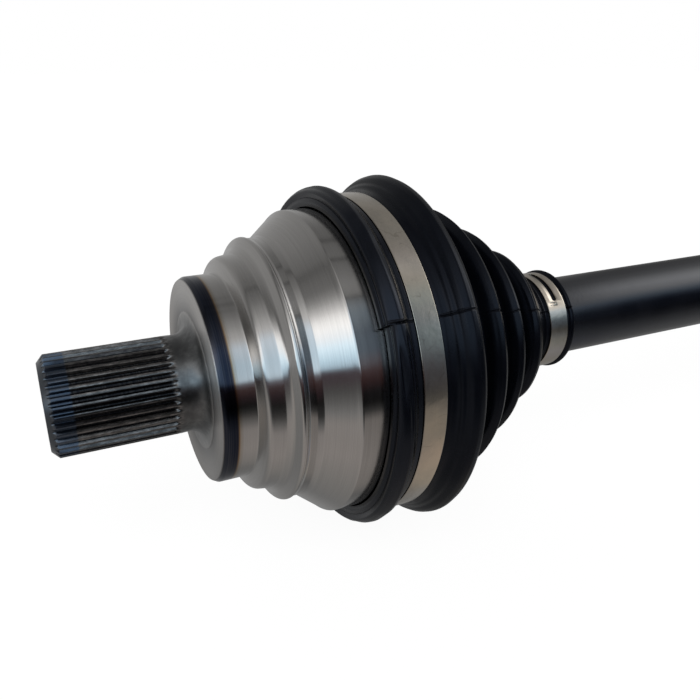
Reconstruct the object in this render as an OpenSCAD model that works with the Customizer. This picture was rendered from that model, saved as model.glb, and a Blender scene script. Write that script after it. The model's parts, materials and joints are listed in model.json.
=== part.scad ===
// Front-wheel drive shaft: a fixed ball joint at the wheel end, a painted bar,
// and a plunging tripod joint with a bolt flange at the gearbox end.
// +X runs along the shaft from the wheel end to the gearbox end, +Z is up.
// The origin is on the axis, in the plane of the shoulder that meets the wheel hub.

/* [Stub axle] */
// Length of the stub from its end face to the hub shoulder
stub_len = 40.2; // [34:0.1:60]
// Number of teeth on the hub spline
hub_teeth = 36; // [24:1:44]
// Tip radius of the hub spline
hub_tip_r = 14.0; // [13:0.1:16]
// Height of a hub spline tooth
hub_tooth_h = 0.95; // [0.6:0.05:1.2]
// Length of the plain neck and fillet between the spline and the shoulder
neck_len = 6.2; // [5:0.1:12]
// Radius of the fillet between the neck and the shoulder
neck_fillet_r = 4.0; // [2:0.1:4.5]
// Wall radius of the threaded hole for the hub bolt
bolt_hole_r = 7.25; // [5:0.05:8]
// Depth of the threaded hole, measured from the stub's end face
bolt_hole_depth = 42; // [30:0.5:46]

/* [Outer joint housing] */
// Distance from the hub shoulder to the outer joint's centre
outer_centre_x = 46; // [45:0.1:52]
// Radius of the hub shoulder, the journal behind it
shoulder_r = 29.7; // [28:0.1:31]
// Length of the journal behind the shoulder
journal_len = 9.3; // [7:0.1:10]
// Radius of the first turned step
step_r = 34.7; // [33:0.1:35.5]
// Distance from the shoulder to the end of the first turned step
step_end_x = 15.2; // [14:0.1:15.5]
// Radius of the turned bead between the step and the cone
bead_r = 39.0; // [37.5:0.1:40]
// Distance from the shoulder to the crest of the bead
bead_x = 18.9; // [18:0.1:20]
// Radius of the housing's large cylinder
bell_r = 45.5; // [44:0.1:47]
// Distance from the shoulder to the start of the large cylinder
bell_x = 31.4; // [30:0.1:33]
// Distance from the joint's centre to the housing's rim
bell_rim = 14; // [13:0.1:20]
// Distance from the circle of ball centres out to the housing's ball-shaped cavity
ball_bite = 4.5; // [4.2:0.1:5]

/* [Outer joint inside] */
// Diameter of the six balls
ball_d = 17.46; // [16:0.01:17.6]
// Radius of the circle through the ball centres
ball_pitch_r = 31; // [30.8:0.1:31.4]
// Half width of the inner race
race_half = 12; // [10:0.1:13]
// Half width of the cage
cage_half = 15; // [13:0.1:16]
// Wall of the cage
cage_wall = 4.3; // [3.5:0.1:4.3]
// Gap between the ball-shaped faces that turn in each other
sphere_gap = 0.3; // [0.2:0.05:0.4]
// Distance that a track's centre line is set off from the balls' path, which widens the track
track_ease = 1.9; // [1.7:0.1:2.1]
// Gap between a ball and the floor of its track
track_gap = 0.4; // [0.35:0.05:0.5]

/* [Bar] */
// Radius of the bar
bar_r = 13.5; // [12.5:0.1:14]
// Distance between the centres of the two joints
joint_span = 420; // [360:1:620]
// Number of teeth on each bar spline
bar_teeth = 33; // [24:1:40]
// Tip radius of the bar's outer spline
outer_spline_r = 12.9; // [11.5:0.1:13]
// Tip radius of the bar's inner spline
inner_spline_r = 12.0; // [11:0.1:12.5]
// Height of a bar spline tooth
bar_tooth_h = 0.8; // [0.5:0.05:0.9]
// Length of each bar end that stands out past its joint's hub
bar_end = 4.5; // [4:0.1:6]

/* [Outer boot] */
// Wall of the boots
boot_wall = 2.4; // [1.6:0.1:2.6]
// Distance from the shoulder to the outer boot's edge on the housing
boot_x = 38.9; // [38:0.1:40]
// Height of the rib beside the large clamp, over the clamp's seat
boot_lip_h = 3.3; // [2:0.1:4]
// Crest radii of the outer boot's folds, from the housing to the bar
boot_crest_r = [53.5, 42.5, 35.0, 26.6];
// Distance from the shoulder to each of those crests
boot_crest_x = [62.2, 77.8, 89.7, 102.2];
// Radii of the valleys behind those crests
boot_valley_r = [37.5, 28.1, 21.5];
// Distance from the shoulder to each of those valleys
boot_valley_x = [73.6, 84.7, 97.2];
// Distance from the shoulder to the outer boot's end on the bar
boot_end_x = 126; // [124:0.1:130]

/* [Clamps] */
// Thickness of a clamp band
band_t = 0.6; // [0.4:0.05:0.8]
// Width of a clamp band
band_w = 7.0; // [6:0.1:9]
// Wall of the boot under the large outer clamp
seat_wall = 2.9; // [2.4:0.1:4]
// Distance from the shoulder to the middle of the large outer clamp
clamp_x = 50.9; // [50.5:0.1:52]
// Wall of a boot's collar under its small clamp
collar_wall = 2.35; // [2:0.05:3]
// Distance from the shoulder to the middle of the small outer clamp
small_clamp_x = 119; // [118:0.1:120]
// Height of a clamp's pinched ear
ear_h = 4.5; // [3:0.1:6]
// Half width of that ear, measured round the band
ear_half = 3.5; // [3:0.1:5]
// Half width of the long slot in a small clamp
slot_half = 0.85; // [0.6:0.05:1.2]

/* [Inner joint] */
// Radius of the circle through the roller centres
roller_pitch_r = 24; // [23.8:0.1:25]
// Outer radius of a roller
roller_r = 16.5; // [15.5:0.1:17]
// Half width of a roller along its trunnion
roller_half = 6; // [5:0.1:6.2]
// Radius of the ball-shaped head of a trunnion
trunnion_r = 9.6; // [8.5:0.1:10]
// Number of needles in a roller
needle_count = 30; // [20:1:32]
// Half width of the spider's hub
hub_half = 9.5; // [8.5:0.1:10]
// Length of the inner housing from the roller centres to its mouth
mouth_len = 45; // [44:0.5:60]
// Length of the inner housing from the roller centres to its flange face
flange_len = 48; // [47.5:0.5:60]
// Outer radius of the inner housing over its three lobes
lobe_r = 39; // [38.5:0.1:42]
// Depth of the hollows between the lobes
lobe_depth = 3.2; // [2.5:0.1:3.2]
// Radius of the bolt flange
flange_r = 54; // [52:0.1:60]
// Thickness of the bolt flange
flange_t = 10; // [8:0.1:12]
// Diameter of the circle through the bolt holes
bolt_pcd = 94; // [92:0.5:98]
// Radius of a bolt hole
bolt_r = 5.2; // [4.2:0.1:5.5]
// Number of bolt holes
bolt_count = 6; // [6:1:6]

/* [Inner boot] */
// Wall of the boot adapter where it is thinnest, over the housing's lobes
adapter_wall = 3; // [2.5:0.1:5]
// Crest radii of the inner boot's folds, from the housing to the bar
inner_crest_r = [43.8, 43.5, 41.5, 36, 26];
// Valley radii beside those crests
inner_valley_r = [38.5, 37.6, 34.8, 26, 17.5];
// Distance between two folds of the inner boot
fold_pitch = 11.5; // [9:0.1:13]

/* [Hidden] */
$fn = 96;

// Radii of the seats that the clamps hold, and of the adapter under the inner boot
clamp_seat_r = bell_r + seat_wall;
collar_r = bar_r + collar_wall;
adapter_r = lobe_r + adapter_wall;

// Radial gap of a push fit, and of a fit that turns or slides
seat_gap = 0.02;
run_gap = 0.05;
// Gap between flat or curved faces that must not touch
free_gap = 0.3;

ball_r = ball_d / 2;
// Radius of the ball-shaped cavity that the cage turns in
bell_sphere_r = ball_pitch_r + ball_bite;
ball_count = 6;
race_sphere_r = cage_in_r() - sphere_gap;
// A track is a groove wider than the ball, which comes near it only at its floor
track_r = ball_r + track_ease + track_gap;
track_sweep = 42;
hub_spline_end = -neck_len;
chamfer = 1.2;

inner_x = outer_centre_x + joint_span;
// The tilt axis runs through the centres of the two lower rollers
tilt_z = -roller_pitch_r / 2;
trunnion_angles = [90, 210, 330];
inner_max_tilt = 18;
inner_max_plunge = 15;
ring_wall = 2.2;
needle_r = 1.0;
ring_in_r = trunnion_r + run_gap;
ring_out_r = ring_in_r + ring_wall;
needle_path_r = ring_out_r + needle_r + seat_gap;
outer_ring_in_r = needle_path_r + needle_r + seat_gap;
channel_half = roller_r + 0.1;
channel_floor_r = roller_pitch_r + roller_half + 0.4;
spider_sphere_r = roller_pitch_r - roller_half - 0.5;
mouth_x = inner_x - mouth_len;
flange_x = inner_x + flange_len;
adapter_len = 16;
inner_boot_end_x = mouth_x - len(inner_crest_r) * fold_pitch - 17;

function cage_in_r() = bell_sphere_r - sphere_gap - cage_wall;
function polar(r, a) = [r * cos(a), r * sin(a)];
// Points of an arc round [x, r] from one angle to another
function arc(centre, radius, from, to, steps = 8) =
  [for (i = [0 : steps]) centre + polar(radius, from + (to - from) * i / steps)];
// Outline of a toothed shaft end, four points for each tooth
function teeth(count, tip, height, gap = 0) =
  let (pitch = 360 / count)
  [for (i = [0 : count - 1])
    for (q = [[0, -0.36], [1, -0.17], [1, 0.17], [0, 0.36]])
      polar(tip + gap - height * (1 - q[0]), (i + q[1] * (1 + gap / height / 2)) * pitch)];

// Turns an outline of [x, r] points round the X axis
module turned(points, angle = 360) {
  rotate([0, 90, 0]) rotate([0, 0, 180])
    rotate_extrude(angle = angle) polygon([for (p = points) [p[1], p[0]]]);
}

// A straight rod along X
module rod(r, from, to) {
  translate([from, 0, 0]) rotate([0, 90, 0]) cylinder(r = r, h = to - from);
}

// A toothed rod along X
module toothed_rod(count, tip, height, from, to, gap = 0) {
  translate([from, 0, 0]) rotate([0, 90, 0])
    linear_extrude(height = to - from) polygon(teeth(count, tip, height, gap));
}

// Puts its children at each ball's place round the X axis
module round_the_axis(count, start = 0) {
  for (i = [0 : count - 1]) rotate([start + i * 360 / count, 0, 0]) children();
}

// One ball track, a groove of radius track_r along an arc round the joint's centre
module track(path_r) {
  rotate([90, 0, 0]) rotate([0, 0, 90 - track_sweep])
    rotate_extrude(angle = 2 * track_sweep) translate([path_r, 0]) circle(r = track_r);
}

step_round = 5.5;
valley_r = bead_r - 0.5;
rim_chamfer = 1;
bell_outline = concat(
  [[-stub_len, 0], [-stub_len, hub_tip_r - hub_tooth_h - chamfer / 2]],
  [[-stub_len + chamfer, hub_tip_r - hub_tooth_h]],
  [[hub_spline_end, hub_tip_r - hub_tooth_h], [hub_spline_end + 0.6, hub_tip_r - 0.1]],
  arc([-neck_fillet_r, hub_tip_r - 0.1 + neck_fillet_r], neck_fillet_r, -90, 0),
  [[0, shoulder_r - 0.8], [1.4, shoulder_r], [journal_len, shoulder_r]],
  arc([step_end_x, step_r - step_round], step_round, 165, 90),
  [[step_end_x + 1.3, step_r + 1.1], [bead_x - 1.9, bead_r - 2.6]],
  arc([bead_x, bead_r - 1], 1, 160, 50, 5),
  [[bead_x + 1.4, valley_r], [bead_x + 3.4, valley_r], [bead_x + 5, valley_r + 0.4]],
  [[bell_x - 0.7, bell_r - 1.0], [bell_x + 0.4, bell_r]],
  [[outer_centre_x + bell_rim - rim_chamfer, bell_r]],
  [[outer_centre_x + bell_rim, bell_r - rim_chamfer], [outer_centre_x + bell_rim, 0]]
);

module outer_joint_bell() {
  color("silver") difference() {
    union() {
      turned(bell_outline);
      intersection() {
        toothed_rod(hub_teeth, hub_tip_r, hub_tooth_h, -stub_len, hub_spline_end + 0.3);
        turned([
          [-stub_len, 0], [-stub_len, hub_tip_r - chamfer], [-stub_len + 2, hub_tip_r + 0.1],
          [0, hub_tip_r + 0.1], [0, 0]
        ]);
      }
    }
    rod(bolt_hole_r, -stub_len, -stub_len + bolt_hole_depth);
    turned([
      [-stub_len - 1, 0], [-stub_len - 1, bolt_hole_r + chamfer + 1],
      [-stub_len + chamfer, bolt_hole_r], [-stub_len + chamfer, 0]
    ]);
    translate([outer_centre_x, 0, 0]) {
      intersection() {
        sphere(r = bell_sphere_r);
        rod(bell_sphere_r + 1, -cavity_depth(), bell_rim + 1);
      }
      turned([
        [bell_rim - 5, 0], [bell_rim - 5, mouth_r() - 5], [bell_rim + 1, mouth_r() + 1],
        [bell_rim + 1, 0]
      ]);
      round_the_axis(ball_count) track(ball_pitch_r - track_ease);
    }
  }
}

// Depth of the cavity behind the joint's centre, and radius of its mouth
function cavity_depth() = bell_sphere_r - 7;
function mouth_r() = bell_rim + bar_r * sqrt(2) + 2.4;

module outer_inner_race() {
  color("slategray") translate([outer_centre_x, 0, 0]) difference() {
    intersection() {
      sphere(r = race_sphere_r);
      rod(race_sphere_r, -race_half, race_half);
    }
    toothed_rod(bar_teeth, outer_spline_r, bar_tooth_h, -race_half - 1, race_half + 1, run_gap);
    round_the_axis(ball_count) track(ball_pitch_r + track_ease);
  }
}

// One cage window, a slot with round corners that a ball just passes through
module cage_window() {
  half_x = ball_r + run_gap;
  half_y = ball_r + 1.6;
  corner = 2.5;
  linear_extrude(height = bell_sphere_r + 1) {
    square([2 * half_x, 2 * (half_y - corner)], center = true);
    square([2 * (half_x - corner), 2 * half_y], center = true);
    for (x = [-1, 1], y = [-1, 1])
      translate([x * (half_x - corner), y * (half_y - corner)]) circle(r = corner);
  }
}

module outer_cage() {
  color("dimgray") translate([outer_centre_x, 0, 0]) difference() {
    intersection() {
      sphere(r = bell_sphere_r - sphere_gap);
      rod(bell_sphere_r, -cage_half, cage_half);
    }
    sphere(r = cage_in_r());
    round_the_axis(ball_count) cage_window();
  }
}

module outer_balls() {
  color("gainsboro") translate([outer_centre_x, 0, 0])
    round_the_axis(ball_count) translate([0, 0, ball_pitch_r]) sphere(r = ball_r);
}

// Where the bar's full radius starts and ends
washer_r = 19;
washer_t = 1.9;
thrust_t = 3.1;
bar_from = outer_centre_x + race_half + washer_t + thrust_t + 0.2;
bar_to = inner_x - hub_half - 3.3;
groove_w = 1.8;

module shaft_bar() {
  outer_end = outer_centre_x - race_half - bar_end;
  inner_end = inner_x + hub_half + bar_end;
  color([0.05, 0.05, 0.06]) difference() {
    union() {
      rod(bar_r, bar_from, bar_to);
      toothed_rod(bar_teeth, outer_spline_r, bar_tooth_h, outer_end, bar_from);
      toothed_rod(bar_teeth, inner_spline_r, bar_tooth_h, bar_to, inner_end);
    }
    ring_groove(outer_centre_x - race_half - groove_w, outer_spline_r);
    ring_groove(inner_x + hub_half, inner_spline_r);
    ring_groove(inner_x - hub_half - groove_w, inner_spline_r);
  }
}

// A groove for a retaining ring, cut round the bar from x onwards
module ring_groove(x, r) {
  difference() {
    rod(r + 2, x, x + groove_w);
    rod(ring_floor(r), x - 1, x + groove_w + 1);
  }
}

function ring_floor(r) = r - bar_tooth_h - 1;

// A retaining ring that sits in a groove, with its gap at the bottom
module retaining_ring(x, r, proud, thick = 1.5) {
  difference() {
    rod(r + proud, x, x + thick);
    rod(ring_floor(r) + seat_gap, x - 1, x + thick + 1);
    translate([x - 1, -2, -2 * r]) cube([thick + 2, 4, 2 * r]);
  }
}

module outer_circlip() {
  color("gray") retaining_ring(outer_centre_x - race_half - 1.55, outer_spline_r, 1.6);
}

module outer_dished_washer() {
  x = outer_centre_x + race_half + run_gap;
  hole = outer_spline_r + run_gap;
  color("gray") turned([
    [x, hole], [x + washer_t, hole], [x + 1.2, washer_r - 0.5], [x + 0.5, washer_r],
    [x, washer_r - 0.4]
  ]);
}

module outer_thrust_ring() {
  x = outer_centre_x + race_half + washer_t + 0.2;
  hole = outer_spline_r + run_gap;
  rim_r = washer_r - 0.8;
  color("wheat") turned([
    [x, hole], [bar_from - run_gap, hole], [bar_from - run_gap, rim_r - 1.7],
    [x + 1.2, rim_r], [x - 0.5, rim_r]
  ]);
}

// Outline of a boot from its large end to its collar, as one smooth bellows wall
function fold_wave(x0, r0, x1, r1, steps = 6) =
  [for (i = [0 : steps - 1])
    [x0 + (x1 - x0) * i / steps, r1 + (r0 - r1) * (1 + cos(180 * i / steps)) / 2]];

module outer_boot() {
  lip_x = boot_x + 3.1;
  seat_from = clamp_x - band_w / 2 - 0.3;
  seat_to = clamp_x + band_w / 2 + 0.3;
  cx = boot_crest_x;
  cr = boot_crest_r;
  vx = boot_valley_x;
  vr = boot_valley_r;
  inner_r = bell_r + seat_gap;
  lip_round = 3.6;
  rim_x = outer_centre_x + bell_rim + free_gap;
  collar_x = small_clamp_x - band_w / 2 - 2.4;
  bore_r = bar_r + run_gap;
  outside = concat(
    [[boot_x, inner_r], [boot_x, inner_r + 1.6]],
    arc([lip_x, clamp_seat_r + boot_lip_h - lip_round], lip_round, 150, 20, 6),
    [[seat_from, clamp_seat_r], [seat_to, clamp_seat_r]],
    fold_wave(seat_to + 0.2, clamp_seat_r + 0.3, cx[0], cr[0], 4),
    fold_wave(cx[0], cr[0], vx[0], vr[0]),
    fold_wave(vx[0], vr[0], cx[1], cr[1]),
    fold_wave(cx[1], cr[1], vx[1], vr[1]),
    fold_wave(vx[1], vr[1], cx[2], cr[2]),
    fold_wave(cx[2], cr[2], vx[2], vr[2]),
    fold_wave(vx[2], vr[2], cx[3], cr[3]),
    fold_wave(cx[3], cr[3], collar_x, collar_r),
    [[collar_x, collar_r], [small_clamp_x + band_w / 2 + 0.3, collar_r]],
    [[small_clamp_x + band_w / 2 + 0.6, collar_r + 1.2], [boot_end_x - 1.2, collar_r + 1.0]],
    [[boot_end_x, collar_r - 0.4], [boot_end_x, bore_r]]
  );
  w = boot_wall;
  inside = concat(
    [[collar_x - 1, bore_r], [collar_x - 2, bore_r + 0.5]],
    [for (i = [3, 2, 1]) each [[cx[i], cr[i] - w], [vx[i - 1], vr[i - 1] - w]]],
    [[cx[0] + 1.5, cr[0] - w], [rim_x + 0.5, cr[0] - w - 1.5], [rim_x, inner_r]]
  );
  color([0.04, 0.04, 0.05]) turned(concat(outside, inside));
}

// Where a clamp's ear stands and its slot runs, as angles round the X axis
ear_angle = -20;
slot_angles = [85, 139];

// A clamp band round the X axis with one pinched ear
module clamp_band(x, seat) {
  inside_r = seat + seat_gap;
  outside_r = inside_r + band_t;
  from = x - band_w / 2;
  to = x + band_w / 2;
  rotate([ear_angle - 90, 0, 0]) difference() {
    union() {
      rod(outside_r, from, to);
      prism(from, to) ear_shape(outside_r, 0);
    }
    rod(inside_r, from - 1, to + 1);
    prism(from - 1, to + 1) {
      ear_shape(outside_r, band_t);
      translate([band_t - ear_half + 0.5, inside_r - 1]) square([2 * (ear_half - band_t) - 1, 2]);
    }
  }
}

// Outline of an ear that stands up from radius r, or of its hollow when inset by the band
module ear_shape(r, inset) {
  foot = ear_half - 0.5 - inset;
  knee = ear_half - inset;
  top = r + ear_h - inset;
  polygon([
    [-foot, r - 0.3], [-foot, r + 0.8], [-knee, top - 1], [-knee + 0.9, top],
    [knee - 0.9, top], [knee, top - 1], [foot, r + 0.8], [foot, r - 0.3]
  ]);
}

// A long slot with round ends, cut through a band between two angles
module band_slot(x, r) {
  h = slot_half;
  rotate([slot_angles[0] - 90, 0, 0]) turned([
    [x - h, r - 2], [x - h, r + 2], [x + h, r + 2], [x + h, r - 2]
  ], slot_angles[1] - slot_angles[0]);
  for (a = slot_angles)
    rotate([a - 90, 0, 0]) translate([x, 0, r - 2]) cylinder(r = h, h = 4);
}

module outer_clamp_large() {
  color([0.72, 0.7, 0.65]) clamp_band(clamp_x, clamp_seat_r);
}

module outer_clamp_small() {
  color([0.75, 0.74, 0.7]) difference() {
    clamp_band(small_clamp_x, collar_r);
    band_slot(small_clamp_x, collar_r);
  }
}

// One trunnion along +Z, with a ball-shaped head cut off flat
module trunnion() {
  intersection() {
    translate([0, 0, roller_pitch_r]) sphere(r = trunnion_r);
    translate([0, 0, roller_pitch_r - roller_half])
      cylinder(r = trunnion_r + 1, h = 2 * roller_half - 1.4);
  }
  cylinder(r = trunnion_r * 0.78, h = roller_pitch_r - roller_half + 1);
}

module tripod_spider() {
  color("lightslategray") translate([inner_x, 0, 0]) difference() {
    union() {
      intersection() {
        sphere(r = spider_sphere_r);
        rod(spider_sphere_r, -hub_half, hub_half);
      }
      round_the_axis(3) trunnion();
    }
    toothed_rod(bar_teeth, inner_spline_r, bar_tooth_h, -hub_half - 1, hub_half + 1, run_gap);
  }
}

module inner_circlip() {
  color("gray") retaining_ring(inner_x + hub_half + 0.15, inner_spline_r, 1.6);
}

module inner_stop_ring() {
  color("gray") retaining_ring(inner_x - hub_half - 1.65, inner_spline_r, 1.6);
}

// A ring round the Z axis at the rollers' pitch radius
module roller_part(out_r, in_r, half) {
  translate([0, 0, roller_pitch_r - half]) difference() {
    cylinder(r = out_r, h = 2 * half);
    translate([0, 0, -1]) cylinder(r = in_r, h = 2 * half + 2);
  }
}

module roller_needles() {
  for (i = [0 : needle_count - 1])
    rotate([0, 0, i * 360 / needle_count])
      translate([needle_path_r, 0, roller_pitch_r - roller_half + 1])
        cylinder(r = needle_r, h = 2 * roller_half - 2, $fn = 24);
}

// Places its children at the trunnion of the given angle
module at_trunnion(angle) {
  translate([inner_x, 0, 0]) rotate([angle - 90, 0, 0]) children();
}

// The rolling ring has a crowned outer face and a lip at each end that holds the needles
module rolling_ring() {
  crown = 0.5;
  half = roller_half;
  translate([0, 0, roller_pitch_r]) rotate_extrude() polygon([
    [ring_out_r + 0.4, -half], [roller_r - crown, -half], [roller_r, -half / 2],
    [roller_r, half / 2], [roller_r - crown, half], [ring_out_r + 0.4, half],
    [ring_out_r + 0.4, half - 0.8], [outer_ring_in_r, half - 0.8],
    [outer_ring_in_r, -half + 0.8], [ring_out_r + 0.4, -half + 0.8]
  ]);
}

module side_roller_inner_rings() {
  color("silver") for (a = [trunnion_angles[1], trunnion_angles[2]])
    at_trunnion(a) roller_part(ring_out_r, ring_in_r, roller_half);
}

module side_roller_needles() {
  color("gainsboro") for (a = [trunnion_angles[1], trunnion_angles[2]])
    at_trunnion(a) roller_needles();
}

module left_roller_ring() {
  color("lightgray") at_trunnion(trunnion_angles[2]) rolling_ring();
}

module right_roller_ring() {
  color("lightgray") at_trunnion(trunnion_angles[1]) rolling_ring();
}

module top_roller_inner_ring() {
  color("silver") at_trunnion(trunnion_angles[0])
    roller_part(ring_out_r, ring_in_r, roller_half);
}

module top_roller_needles() {
  color("gainsboro") at_trunnion(trunnion_angles[0]) roller_needles();
}

module top_roller_ring() {
  color("lightgray") at_trunnion(trunnion_angles[0]) rolling_ring();
}

// Outline of the three lobes, seen along the shaft, with the first lobe at the top
module lobes(grow = 0) {
  rotate([0, 0, 90]) intersection() {
    circle(r = lobe_r + grow);
    union() {
      circle(r = lobe_r - lobe_depth + grow);
      for (i = [0 : 2]) rotate([0, 0, i * 120])
        translate([0, -channel_half - 4 - grow])
          square([lobe_r + 5, 2 * (channel_half + 4 + grow)]);
    }
  }
}

// A prism along X of a 2D outline whose axes are Y and Z
module prism(from, to) {
  translate([from, 0, 0]) rotate([90, 0, 90]) linear_extrude(height = to - from) children();
}

module inner_joint_housing() {
  // The mouth flares so that the bar can tilt, wherever the housing has plunged to
  relief = tan(inner_max_tilt);
  land_r = (bar_r - tilt_z) / cos(inner_max_tilt) + tilt_z + inner_max_plunge * relief + free_gap;
  color("dimgray") difference() {
    union() {
      prism(mouth_x, flange_x - 1) lobes();
      rod(flange_r - 1, flange_x - flange_t, flange_x);
      rod(flange_r, flange_x - flange_t + 1, flange_x - 1);
    }
    for (a = trunnion_angles) prism(mouth_x - 1, flange_x - cap_depth + 1) rotate([0, 0, a])
      translate([0, -channel_half]) square([channel_floor_r, 2 * channel_half]);
    turned([
      [mouth_x - 1, 0], [mouth_x - 1, land_r + (mouth_len + 1) * relief],
      [inner_x, land_r], [flange_x - cap_depth, land_r], [flange_x - cap_depth, 0]
    ]);
    rod(cap_r(), flange_x - cap_depth, flange_x + 1);
    round_the_axis(bolt_count, 30) translate([0, 0, bolt_pcd / 2])
      rod(bolt_r, flange_x - flange_t - 1, flange_x + 1);
  }
}

// The cap closes the bore behind the channels; its lid is dished by cap_dish
function cap_r() = channel_floor_r + cap_land;
cap_land = 6.4;
cap_depth = 4;
cap_dish = 1.5;

module inner_end_cap() {
  r = cap_r() - seat_gap;
  back = flange_x - cap_depth + seat_gap;
  lid = flange_x - cap_depth + cap_dish;
  color("silver") turned([
    [back, 0], [back, r], [flange_x - 0.8, r], [flange_x - 0.8, r - cap_dish],
    [lid, r - cap_dish], [lid, 0]
  ]);
}

module cap_seal_ring() {
  out_r = cap_r() - cap_dish - 2 * seat_gap;
  from = flange_x - cap_depth + cap_dish + seat_gap;
  color("black") turned([
    [from, out_r], [flange_x - 1, out_r], [flange_x - 1, out_r - 1.7], [from, out_r - 1.7]
  ]);
}

module boot_adapter() {
  color([0.1, 0.1, 0.1]) difference() {
    rod(adapter_r, mouth_x, mouth_x + adapter_len);
    prism(mouth_x - 1, mouth_x + adapter_len + 1) lobes(run_gap);
  }
}

inner_clamp_x = mouth_x + adapter_len / 2;
inner_collar_x = inner_boot_end_x + 13;
inner_small_clamp_x = inner_boot_end_x + 7;
inner_seat_r = adapter_r + 2.2;

module inner_boot() {
  n = len(inner_crest_r);
  seat_r = inner_seat_r;
  lip_from = inner_clamp_x - band_w / 2 - 0.3;
  lip_to = inner_clamp_x + band_w / 2 + 0.3;
  big_x = mouth_x + adapter_len - 1;
  inner_r = adapter_r + seat_gap;
  first_x = mouth_x - 5;
  crest = function (i) [first_x - i * fold_pitch, inner_crest_r[i]];
  valley = function (i) [first_x - (i + 0.5) * fold_pitch, inner_valley_r[i]];
  outside = concat(
    [[big_x, inner_r], [big_x, seat_r + 1.2], [lip_to, seat_r + 1.2], [lip_to, seat_r]],
    [[lip_from, seat_r], [lip_from, seat_r + 1.2], [lip_from - 2, seat_r + 1.2]],
    fold_wave(lip_from - 2.4, seat_r + 0.9, crest(0)[0], crest(0)[1], 3),
    [for (i = [0 : n - 1]) each concat(
      fold_wave(crest(i)[0], crest(i)[1], valley(i)[0], valley(i)[1], 4),
      i < n - 1 ? fold_wave(valley(i)[0], valley(i)[1], crest(i + 1)[0], crest(i + 1)[1], 4) : []
    )],
    [[inner_collar_x, collar_r], [inner_boot_end_x + 3, collar_r]],
    [[inner_boot_end_x + 2.6, collar_r + 1.1], [inner_boot_end_x + 1, collar_r + 0.9]],
    [[inner_boot_end_x, collar_r - 0.4], [inner_boot_end_x, bar_r + run_gap]]
  );
  w = boot_wall;
  inside = concat(
    [[inner_collar_x + 1, bar_r + run_gap]],
    [for (i = [n - 1 : -1 : 0]) each [
      valley(i) - [0, w * 0.9], crest(i) - [0, w]
    ]],
    [[mouth_x - free_gap, adapter_r - 1.4], [mouth_x - free_gap, inner_r]]
  );
  color([0.04, 0.04, 0.05]) turned(concat(outside, inside));
}

module inner_clamp_large() {
  color([0.72, 0.7, 0.65]) clamp_band(inner_clamp_x, inner_seat_r);
}

module inner_clamp_small() {
  color([0.75, 0.74, 0.7]) difference() {
    clamp_band(inner_small_clamp_x, collar_r);
    band_slot(inner_small_clamp_x, collar_r);
  }
}

shaft_bar();
outer_joint_bell();
outer_inner_race();
outer_cage();
outer_balls();
outer_circlip();
outer_dished_washer();
outer_thrust_ring();
outer_boot();
outer_clamp_large();
outer_clamp_small();
tripod_spider();
inner_circlip();
inner_stop_ring();
side_roller_inner_rings();
side_roller_needles();
left_roller_ring();
right_roller_ring();
top_roller_inner_ring();
top_roller_needles();
top_roller_ring();
inner_joint_housing();
inner_end_cap();
cap_seal_ring();
boot_adapter();
inner_boot();
inner_clamp_large();
inner_clamp_small();
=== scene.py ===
"""Looks of a front-wheel drive shaft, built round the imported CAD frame."""

import json
import math

import bmesh
import bpy
import numpy as np
from mathutils import Matrix, Vector


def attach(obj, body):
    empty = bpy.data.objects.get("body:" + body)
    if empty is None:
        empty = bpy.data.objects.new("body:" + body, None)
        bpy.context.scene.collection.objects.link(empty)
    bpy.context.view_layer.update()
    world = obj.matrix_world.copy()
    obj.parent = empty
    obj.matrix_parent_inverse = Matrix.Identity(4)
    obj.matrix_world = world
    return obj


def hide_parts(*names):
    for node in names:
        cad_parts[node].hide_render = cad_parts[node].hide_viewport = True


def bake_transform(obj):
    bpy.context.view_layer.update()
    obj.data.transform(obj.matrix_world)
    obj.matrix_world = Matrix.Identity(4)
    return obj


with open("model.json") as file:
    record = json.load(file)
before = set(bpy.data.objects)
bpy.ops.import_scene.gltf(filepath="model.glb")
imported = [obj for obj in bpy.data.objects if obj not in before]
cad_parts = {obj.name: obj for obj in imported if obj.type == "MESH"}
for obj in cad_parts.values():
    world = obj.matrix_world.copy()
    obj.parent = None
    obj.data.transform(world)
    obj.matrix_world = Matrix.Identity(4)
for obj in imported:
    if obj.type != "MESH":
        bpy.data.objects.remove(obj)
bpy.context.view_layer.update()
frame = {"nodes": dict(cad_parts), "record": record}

MM = 0.001


# Outlines are lists of (x, r) in millimetres along and off the shaft's axis
def arc(cx, cr, radius, start, end, steps=6):
    """Points of an arc round (cx, cr), angles in degrees."""
    angles = np.radians(np.linspace(start, end, steps + 1))
    return [(cx + radius * math.cos(a), cr + radius * math.sin(a)) for a in angles]


def wave(x0, r0, x1, r1, steps=8):
    """Half a wave from one point up to, but not including, the next."""
    points = []
    for t in np.arange(steps) / steps:
        points.append((x0 + (x1 - x0) * t, r1 + (r0 - r1) * (1 + math.cos(math.pi * t)) / 2))
    return points


def soften(points, cut=0.3, steps=3):
    """Rounds every corner of an outline with a short curve."""
    points = [np.array(p, float) for p in points]
    out = [points[0]]
    for before, corner, after in zip(points, points[1:], points[2:]):
        arm_in, arm_out = before - corner, after - corner
        length_in, length_out = np.linalg.norm(arm_in), np.linalg.norm(arm_out)
        a = corner + arm_in / length_in * min(cut, 0.4 * length_in)
        b = corner + arm_out / length_out * min(cut, 0.4 * length_out)
        for t in np.linspace(0, 1, steps + 1):
            out.append((1 - t) ** 2 * a + 2 * t * (1 - t) * corner + t * t * b)
    out.append(points[-1])
    return [tuple(p) for p in out]


def smooth_step(value, low, high):
    t = np.clip((value - low) / (high - low), 0, 1)
    return t * t * (3 - 2 * t)


def hump(distance, width):
    """1 at no distance, fading smoothly over the width."""
    return np.exp(-(distance / width) ** 2)


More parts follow.
